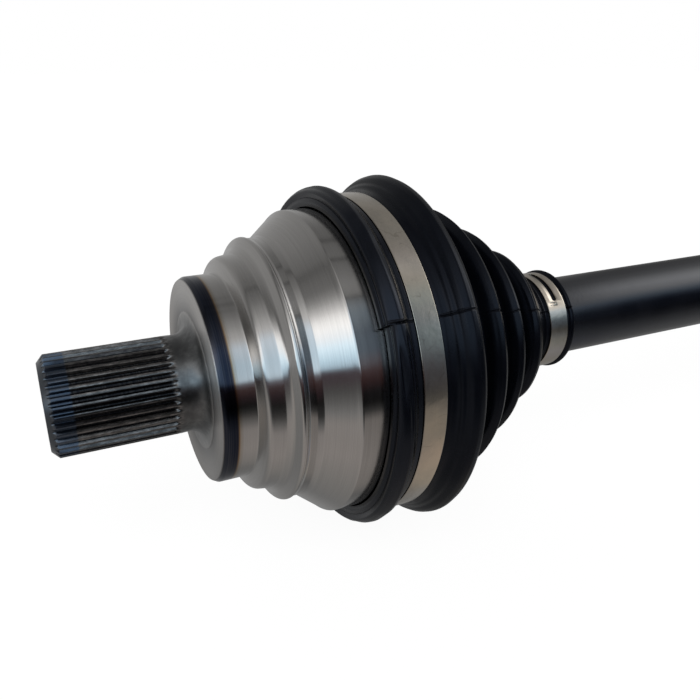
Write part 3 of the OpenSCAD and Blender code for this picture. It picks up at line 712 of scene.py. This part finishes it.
def make_inner_boot():
    folds = fold_line(INNER_CREST_X, INNER_CREST_R, INNER_VALLEY_X, INNER_VALLEY_R)
    meet = next(i for i, point in enumerate(folds) if abs(point[0] - MEET_X) < 0.8)
    seat_from, seat_to = INNER_CLAMP_X - SEAT_HALF, INNER_CLAMP_X + SEAT_HALF
    lining_r = ADAPTER_R + 0.05
    outer = soften(
        [(INNER_LIP_END, lining_r + 0.5), (INNER_LIP_END, INNER_LIP_R), (seat_to, INNER_LIP_R),
         (seat_to, INNER_SEAT_R), (seat_from, INNER_SEAT_R), (seat_from, INNER_LIP_R),
         (seat_from - 2, INNER_LIP_R)], 0.5)
    outer += wave(seat_from - 2.4, INNER_LIP_R - 0.3, *folds[0], 4) + folds[:meet + 1]
    inner = [(x, r - WALL) for x, r in folds[:meet + 1]][::-1]
    inner += [(MOUTH_X - 0.3, ADAPTER_R - 1.4), (MOUTH_X - 0.3, lining_r), (INNER_LIP_END, lining_r)]
    joint_side = inner_boot_part("inner_boot_joint_side", outer, inner)
    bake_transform(joint_side)
    collar_x = INNER_END_X + 13
    outer = folds[meet:-1] + wave(*folds[-1], collar_x, COLLAR_R)
    outer += [(collar_x, COLLAR_R), (INNER_END_X + 3, COLLAR_R)]
    outer += arc(INNER_END_X + 1.6, COLLAR_R + 0.1, 1.1, 30, 170, 6)
    outer += [(INNER_END_X, COLLAR_R - 0.7), (INNER_END_X, BAR_R)]
    inner = [(collar_x + 1, BAR_R)] + [(x, r - WALL) for x, r in folds[meet:]][::-1]
    bar_side = inner_boot_part("inner_boot_bar_side", outer, inner)
    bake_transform(bar_side)


make_inner_boot()


# Clamps
BAND_HALF, BAND_THICK, BAND_GAP, BAND_EDGE_R = 3.5, 0.6, 0.02, 0.12
EAR_AT = math.radians(-20)
EAR_HALF, EAR_H = 3.5, 4.5
# A small clamp has a long slot and a sunk mark, between these angles round the band
SLOT = (math.radians(85), math.radians(139))
SLOT_HALF = 0.85
MARK = (math.radians(139.8), math.radians(145))
MARK_DEPTH = 0.3
PLAIN_COLUMNS = [-BAND_HALF, -3.25, 3.25, BAND_HALF]
SLOT_COLUMNS = [-BAND_HALF, -3.25, -2.4, -2.2, -SLOT_HALF, 0.2, 0.4, SLOT_HALF, 3.25, BAND_HALF]


def band_path(mid, slotted):
    """The band's middle line as (y, z), round the boot and up over the ear, and the angle at each point."""
    foot = EAR_HALF - 0.5
    half_gap = math.asin(foot / mid)
    sweep = np.linspace(EAR_AT + half_gap, EAR_AT - half_gap + 2 * math.pi, 200)
    if slotted:
        ends = [SLOT[0], SLOT[0] + 0.02, SLOT[0] + 0.045, SLOT[1] - 0.045, SLOT[1] - 0.02, SLOT[1]]
        ends += [MARK[0], MARK[0] + 0.01, MARK[1] - 0.01, MARK[1]]
        sweep = np.sort(np.concatenate([sweep, ends]))
    ear = soften([(-foot, 0), (-foot, 0.8), (-EAR_HALF, EAR_H - 1.3), (-EAR_HALF + 0.9, EAR_H - 0.3),
                  (EAR_HALF - 0.9, EAR_H - 0.3), (EAR_HALF, EAR_H - 1.3), (foot, 0.8), (foot, 0)], 0.6)[1:-1]
    up = (math.cos(EAR_AT), math.sin(EAR_AT))
    side = (-up[1], up[0])
    base = mid * math.cos(half_gap)
    path = [(mid * math.cos(a), mid * math.sin(a)) for a in sweep]
    path += [(up[0] * (base + height) + side[0] * across, up[1] * (base + height) + side[1] * across)
             for across, height in ear]
    return path, list(sweep) + [EAR_AT] * len(ear)


def slot_edge(column, angle, mid):
    """Where a column lies at an angle: the slot's edges come together in its round ends."""
    if abs(column) != SLOT_HALF or not SLOT[0] - 0.001 <= angle <= SLOT[1] + 0.001:
        return column
    reach = min(abs(angle - SLOT[0]) * mid, abs(angle - SLOT[1]) * mid, SLOT_HALF)
    half = max(math.sqrt(SLOT_HALF ** 2 - (SLOT_HALF - reach) ** 2), 0.12)
    return math.copysign(half, column)


def band_surface(x, mid, slotted):
    """Points and faces of a clamp's middle surface."""
    columns = SLOT_COLUMNS if slotted else PLAIN_COLUMNS
    path, angles = band_path(mid, slotted)
    count = len(path)
    points, faces = [], []
    for column in columns:
        for (y, z), angle in zip(path, angles):
            marked = slotted and MARK[0] < angle < MARK[1] and -2.3 < column < 0.3
            scale = 1 - MARK_DEPTH / mid if marked else 1.0
            along = slot_edge(column, angle, mid) if slotted else column
            points.append(((x + along) * MM, y * scale * MM, z * scale * MM))
    for c, (column, next_column) in enumerate(zip(columns, columns[1:])):
        for i, angle in enumerate(angles):
            j = (i + 1) % count
            in_slot = SLOT[0] - 1e-6 <= angle < SLOT[1] - 1e-6 and angles[j] <= SLOT[1] + 1e-6
            if not (slotted and in_slot and column >= -SLOT_HALF and next_column <= SLOT_HALF):
                faces.append((c * count + i, c * count + j, (c + 1) * count + j, (c + 1) * count + i))
    return points, faces


def clamp(name, x, seat_r, body, node, slotted):
    """A steel band bent to one pinched ear, with rounded edges, and a slot if it is a small one."""
    mesh = bpy.data.meshes.new(name)
    points, faces = band_surface(x, seat_r + BAND_GAP + BAND_THICK / 2, slotted)
    mesh.from_pydata(points, [], faces)
    face_outwards(mesh)
    piece = link_object(name, mesh)
    shell = piece.modifiers.new("thickness", "SOLIDIFY")
    shell.thickness = BAND_THICK * MM
    shell.offset = 0
    edges = piece.modifiers.new("edges", "BEVEL")
    edges.width = BAND_EDGE_R * MM
    edges.segments = 2
    edges.limit_method = "ANGLE"
    edges.angle_limit = math.radians(50)
    apply_modifiers(piece)
    smooth_faces(piece.data, 40)
    dress(piece, "clamp_steel", body, [node])


clamp("outer_band_large", CLAMP_X, SEAT_R, "outer_housing", "outer_clamp_large", False)
clamp("outer_band_small", SMALL_CLAMP_X, COLLAR_R, "shaft", "outer_clamp_small", True)
clamp("inner_band_large", INNER_CLAMP_X, INNER_SEAT_R, "inner_housing", "inner_clamp_large", False)
clamp("inner_band_small", INNER_SMALL_CLAMP_X, COLLAR_R, "shaft", "inner_clamp_small", True)

# CAD nodes that stay get their materials
for part in frame["record"]["subparts"]:
    held = frame["nodes"].get(part["node"])
    if held is not None and part["material_slot"] in materials:
        held.data.materials.clear()
        held.data.materials.append(materials[part["material_slot"]])


# Studio
FLOOR_Z, FLOOR_HALF = -0.0545, 6


def bare_tree(block):
    """The emptied node tree of a material or a world."""
    block.use_nodes = True
    block.node_tree.nodes.clear()
    return Nodes(block.node_tree)


def stage_mesh(name, points, faces):
    """A mesh of the studio with an empty material, and that material's nodes."""
    mesh = bpy.data.meshes.new(name)
    mesh.from_pydata(points, [], faces)
    obj = link_object(name, mesh)
    mat = bpy.data.materials.new(name)
    mesh.materials.append(mat)
    return obj, bare_tree(mat)


def seen_white(nodes):
    """1 for camera, glossy and transmission rays, which see the background white."""
    path = nodes.new("LightPath")
    rays = nodes.math("MAXIMUM", path.outputs["Is Camera Ray"], path.outputs["Is Glossy Ray"])
    return nodes.math("MAXIMUM", rays, path.outputs["Is Transmission Ray"])


def make_floor():
    corners = [(x * FLOOR_HALF, y * FLOOR_HALF, FLOOR_Z) for x, y in ((-1, -1), (1, -1), (1, 1), (-1, 1))]
    floor, nodes = stage_mesh("floor", corners, [(0, 1, 2, 3)])
    floor.visible_glossy = False
    pale = nodes.new("BsdfDiffuse", Color=(0.82, 0.82, 0.82, 1))
    white = nodes.new("Emission", Color=(1, 1, 1, 1), Strength=1.025)
    # Near the part the floor keeps its shadow, and further off it is as white as the backdrop
    away = nodes.new("VectorMath")
    away.operation = "DISTANCE"
    nodes.set(away.inputs[0], nodes.new("TexCoord").outputs["Object"])
    away.inputs[1].default_value = (0.12, 0, FLOOR_Z)
    far = nodes.span(away.outputs["Value"], 0.25, 0.75, 0.93, 1.0)
    mixed = nodes.new("MixShader")
    share = nodes.times(seen_white(nodes), far)
    for socket, value in zip(mixed.inputs, (share, pale.outputs[0], white.outputs[0])):
        nodes.set(socket, value)
    nodes.new("OutputMaterial", Surface=mixed.outputs[0])


def make_backdrop():
    world = bpy.data.worlds.new("studio")
    bpy.context.scene.world = world
    nodes = bare_tree(world)
    strength = nodes.span(seen_white(nodes), 0.0, 1.0, 0.45, 1.0)
    backdrop = nodes.new("Background", Color=(1, 1, 1, 1), Strength=strength)
    nodes.new("OutputWorld", Surface=backdrop.outputs[0])


# What the walls show towards each side, from the far left to the right, as angles in degrees with
# their tones. 0 is straight in front of the part, 90 overhead, -90 below and 180 behind.
BELOW = [(-180, 0.46), (-158, 0.44), (-145, 0.33), (-130, 0.30), (-112, 0.25), (-90, (0.33, 0.32, 0.31))]
FAR_LEFT = BELOW + [
    (-60, (0.46, 0.435, 0.415)), (-40, (0.46, 0.435, 0.42)), (-33, 0.38), (-22, 0.21), (-12, 0.12),
    (0, (0.09, 0.07, 0.08)), (8.5, (0.085, 0.06, 0.07)), (11.5, (0.70, 0.95, 1.15)), (20, (1.0, 1.35, 1.6)),
    (32, (1.45, 1.8, 2.05)), (42, (1.75, 1.85, 1.95)), (52, 2.0), (60, 1.75), (68, 1.05), (77, 0.50),
    (86, 0.19), (97, 0.16), (103, 0.13), (107, 0.22), (130, 0.28), (180, 0.42)]
LEFT = BELOW + [
    (-66, (0.42, 0.39, 0.375)), (-40, (0.38, 0.355, 0.345)), (-30, 0.16), (-24, 0.05), (-12, 0.015),
    (-3, (0.040, 0.025, 0.029)), (6, (0.08, 0.05, 0.05)), (11, (0.20, 0.19, 0.22)), (15, (1.0, 1.25, 1.45)),
    (30, (0.95, 1.2, 1.4)), (48, (1.1, 1.25, 1.4)), (58, 0.9), (72, 0.5), (86, 0.28), (98, 0.20),
    (103, 0.13), (107, 0.21), (130, 0.30), (180, 0.42)]
MIDDLE = [
    (-180, 0.40), (-150, 0.28), (-100, 0.17), (-85, (0.28, 0.262, 0.25)), (-62, (0.32, 0.298, 0.285)),
    (-26, (0.27, 0.25, 0.24)), (-19, 0.05), (-13, 0.004), (-5, 0.006),
    (3, (0.045, 0.020, 0.019)), (10, (0.080, 0.042, 0.040)), (17, (0.09, 0.068, 0.08)),
    (24, (0.060, 0.076, 0.105)), (36, (0.058, 0.073, 0.10)), (43, (0.11, 0.14, 0.17)),
    (50, (0.16, 0.20, 0.24)), (55, (0.19, 0.225, 0.26)), (59.5, (0.16, 0.18, 0.20)), (62, 0.08),
    (65, 0.24), (73, 0.28), (80, 0.24), (91.5, 0.19), (94, 0.08), (96.5, 0.21), (110, 0.19),
    (113.5, 0.10), (117, 0.18), (130, 0.20), (160, 0.36), (180, 0.42)]
CLAMP_SIDE = [
    (-180, 0.24), (-125, 0.30), (-104, 0.33), (-95, (0.40, 0.37, 0.33)), (-80, (0.47, 0.42, 0.37)),
    (-61, (0.49, 0.42, 0.37)), (-45, (0.38, 0.34, 0.30)), (-30, (0.34, 0.31, 0.28)),
    (-23, (0.29, 0.27, 0.25)), (-19, 0.12), (-15, 0.095), (-8, (0.085, 0.085, 0.10)),
    (2, (0.09, 0.095, 0.115)), (9, (0.105, 0.12, 0.15)), (16, (0.18, 0.23, 0.28)),
    (30, (0.21, 0.28, 0.33)), (38, (0.24, 0.29, 0.36)), (45, (0.29, 0.35, 0.41)),
    (52, (0.38, 0.46, 0.50)), (66, 0.50), (75, (0.54, 0.55, 0.58)), (84, (0.42, 0.42, 0.45)),
    (95, (0.34, 0.34, 0.35)), (110, 0.34), (130, 0.28), (180, 0.40)]
SMALL_CLAMP_SIDE = [
    (-180, 0.24), (-102, 0.25), (-68, (0.30, 0.31, 0.36)), (-43, (0.30, 0.32, 0.33)),
    (-24, (0.20, 0.22, 0.25)), (-12, 0.11), (-2, (0.11, 0.135, 0.17)), (10, (0.14, 0.18, 0.24)),
    (16, (0.24, 0.33, 0.42)), (24, (0.60, 0.75, 0.90)), (34, (0.95, 1.15, 1.40)), (40, 1.15),
    (50, 0.85), (58, 0.70), (70, 0.50), (100, 0.40), (130, 0.30), (180, 0.30)]
RIGHT_SIDE = [
    (-180, 0.24), (-108, 0.28), (-73, 0.34), (-47, 0.22), (-30, 0.08), (-12, 0.01),
    (14, (0.010, 0.015, 0.03)), (24, (0.11, 0.15, 0.22)), (34, (0.55, 0.70, 0.85)),
    (45, (1.3, 1.4, 1.5)), (55, 2.0), (73, 2.4), (85, 1.9), (95, 1.3), (110, 0.6), (130, 0.28),
    (155, 0.14), (180, 0.16)]
# Each side takes over from the one before it between two values of x, on a sphere of radius 1
SIDES = ((-0.78, -0.60, LEFT), (0.06, 0.30, MIDDLE), (0.43, 0.47, CLAMP_SIDE),
         (0.53, 0.60, SMALL_CLAMP_SIDE), (0.66, 0.73, RIGHT_SIDE))
WALL_R = 2.0


def sphere_mesh(radius, rings=24, sides=48):
    """Points and faces of a sphere, from its lower pole up."""
    points = []
    for i in range(rings + 1):
        lat = math.pi * i / rings - math.pi / 2
        for lon in even_angles(sides):
            points.append((radius * math.cos(lat) * math.cos(lon), radius * math.cos(lat) * math.sin(lon),
                           radius * math.sin(lat)))
    faces = []
    for i in range(rings):
        for j in range(sides):
            k = (j + 1) % sides
            faces.append((i * sides + j, i * sides + k, (i + 1) * sides + k, (i + 1) * sides + j))
    return points, faces


def make_walls():
    """A soft window on the left, a dark room in front and a lit table below; only reflections see them."""
    walls, nodes = stage_mesh("studio_walls", *sphere_mesh(WALL_R))
    for ray in ("camera", "diffuse", "transmission", "volume_scatter", "shadow"):
        setattr(walls, "visible_" + ray, False)
    unit = nodes.new("VectorMath")
    unit.operation = "NORMALIZE"
    nodes.set(unit.inputs[0], nodes.new("TexCoord").outputs["Object"])
    x, y, z = nodes.new("SeparateXYZ", Vector=unit.outputs[0]).outputs
    angle = nodes.math("DEGREES", nodes.math("ARCTAN2", z, nodes.times(y, -1.0)))
    colour = nodes.ramp(angle, FAR_LEFT)
    for low, high, stops in SIDES:
        colour = nodes.mix(nodes.span(x, low, high), colour, nodes.ramp(angle, stops))
    glow = nodes.new("Emission", Color=colour, Strength=1.0)
    nodes.new("OutputMaterial", Surface=glow.outputs[0])


def softbox(name, place, aim, size, power):
    """A large area lamp that lights the part without a hard reflection."""
    lamp = bpy.data.lights.new(name, "AREA")
    lamp.shape = "RECTANGLE"
    lamp.size, lamp.size_y = size
    lamp.energy = power
    obj = link_object(name, lamp)
    obj.location = place
    obj.rotation_euler = (Vector(aim) - Vector(place)).to_track_quat("-Z", "Y").to_euler()
    obj.visible_glossy = False


make_floor()
make_backdrop()
make_walls()
softbox("key", (-0.5, -0.9, 1.3), (0.1, 0, 0), (1.2, 1.0), 16)
softbox("fill", (1.2, -1.1, 0.7), (0.2, 0, 0), (1.2, 1.0), 8)
softbox("back", (0.2, 1.4, 1.1), (0.2, 0, 0), (1.6, 0.8), 8)

# Camera
CAMERA_AT = (-0.0415, -0.1909, 0.0864)
RIGHT = Vector((0.90243, -0.430837, 0.0)).normalized()
FORWARD = Vector((0.399368, 0.836516, -0.37516)).normalized()
UP = RIGHT.cross(FORWARD).normalized()
eye = bpy.data.cameras.new("camera")
eye.lens = 37.456
eye.sensor_width = 36
eye.clip_start = 0.005
camera = link_object("camera", eye)
turn = Matrix((RIGHT, UP, -FORWARD)).transposed().to_4x4()
camera.matrix_world = Matrix.Translation(CAMERA_AT) @ turn
bpy.context.scene.camera = camera
bpy.context.scene.view_settings.view_transform = "Standard"
